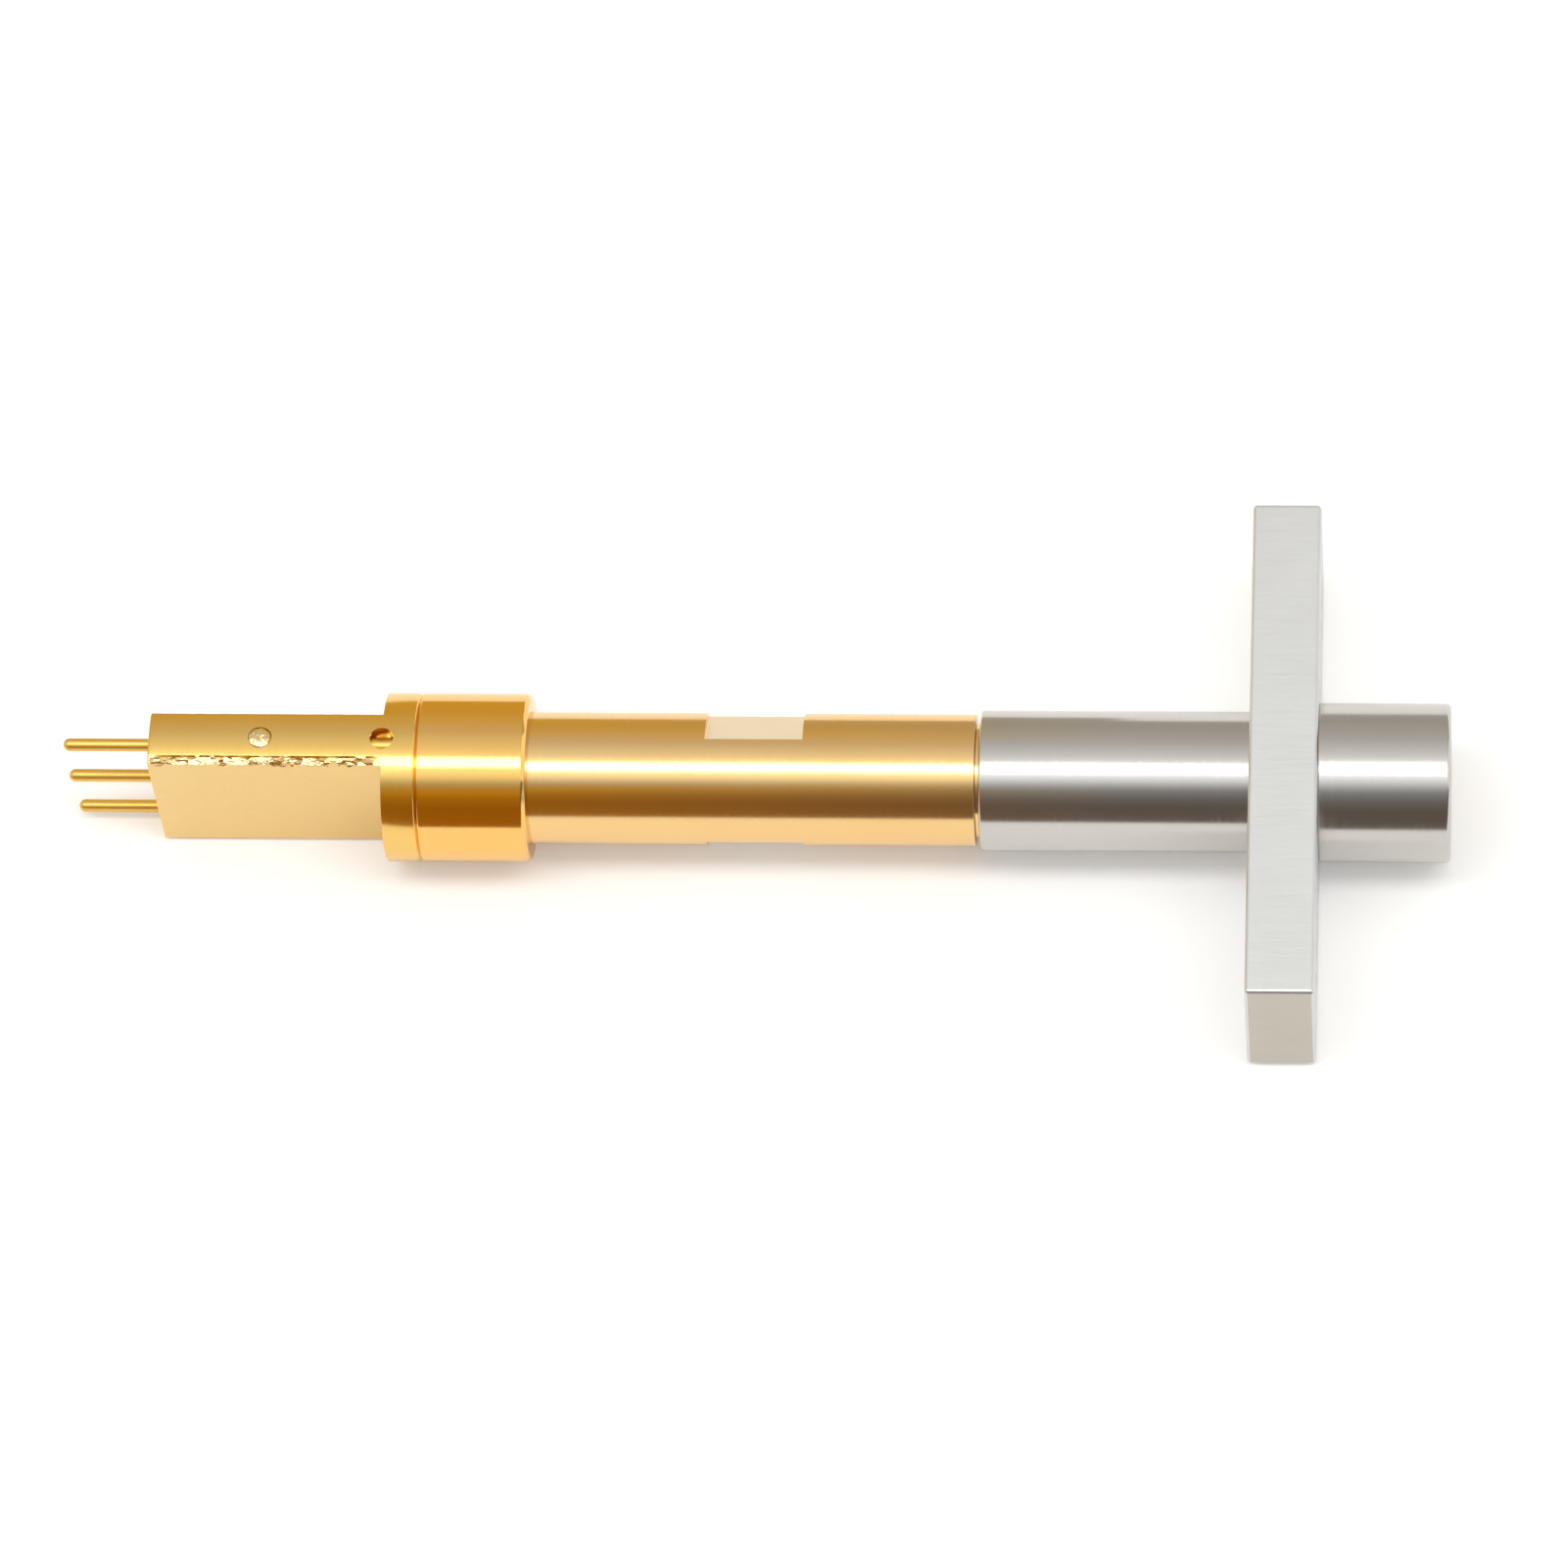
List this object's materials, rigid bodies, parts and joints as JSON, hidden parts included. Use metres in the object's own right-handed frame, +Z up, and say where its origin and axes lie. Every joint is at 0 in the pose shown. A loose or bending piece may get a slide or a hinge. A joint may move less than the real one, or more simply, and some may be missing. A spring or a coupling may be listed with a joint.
{
  "type": "rf test probe",
  "caption": "Coaxial RF test probe: spring contacts in a flat gold head, a straight gold and steel barrel, and a mounting flange with a coaxial socket behind it.",
  "frame": {"origin": "on the probe's axis, at the front face of the mounting flange", "axes": "-X along the axis towards the contact tips, +X towards the rear socket, Y along the flange's long side, +Z up along the row of contacts"},
  "size_m": [0.0533, 0.021, 0.0066],
  "materials": {
    "gold_plate": "thin gold plate over turned brass, polished",
    "gold_head": "gold plate over milled brass, satin",
    "contact_gold": "hard gold plate over spring contact metal",
    "sleeve_steel": "turned and polished stainless steel",
    "flange_steel": "ground and bead blasted stainless steel, matt",
    "tail_steel": "turned and polished stainless steel",
    "fluoropolymer": "white, waxy",
    "solder": "bright tin solder",
    "spring_steel": "bare music wire"
  },
  "bodies": {
    "housing": {"head_block": "gold_head", "coupling_ring": "gold_plate", "front_barrel": "gold_plate", "steel_sleeve": "sleeve_steel", "flange_plate": "flange_steel", "rear_shell": "tail_steel", "rear_insulator": "fluoropolymer", "rear_contact": "contact_gold", "centre_conductor": "gold_plate", "bead_front": "fluoropolymer", "bead_rear": "fluoropolymer", "signal_bush": "fluoropolymer", "solder_plug_upper": "solder", "solder_plug_lower": "solder", "upper_ground_barrel": "contact_gold", "upper_ground_spring": "spring_steel", "signal_barrel": "contact_gold", "signal_spring": "spring_steel", "lower_ground_barrel": "contact_gold", "lower_ground_spring": "spring_steel"},
    "upper_ground_plunger": {"upper_ground_plunger": "contact_gold"},
    "signal_plunger": {"signal_plunger": "contact_gold"},
    "lower_ground_plunger": {"lower_ground_plunger": "contact_gold"}
  },
  "joints": [
    {"name": "upper_ground_travel", "type": "slide", "parent": "housing", "child": "upper_ground_plunger", "axis": [1, 0, 0], "range_m": [0, 0.00265], "stiffness_N_per_m": 360, "deforming": ["upper_ground_spring"]},
    {"name": "signal_travel", "type": "slide", "parent": "housing", "child": "signal_plunger", "axis": [1, 0, 0], "range_m": [0, 0.00265], "stiffness_N_per_m": 360, "deforming": ["signal_spring"]},
    {"name": "lower_ground_travel", "type": "slide", "parent": "housing", "child": "lower_ground_plunger", "axis": [1, 0, 0], "range_m": [0, 0.00265], "stiffness_N_per_m": 360, "deforming": ["lower_ground_spring"]}
  ]
}
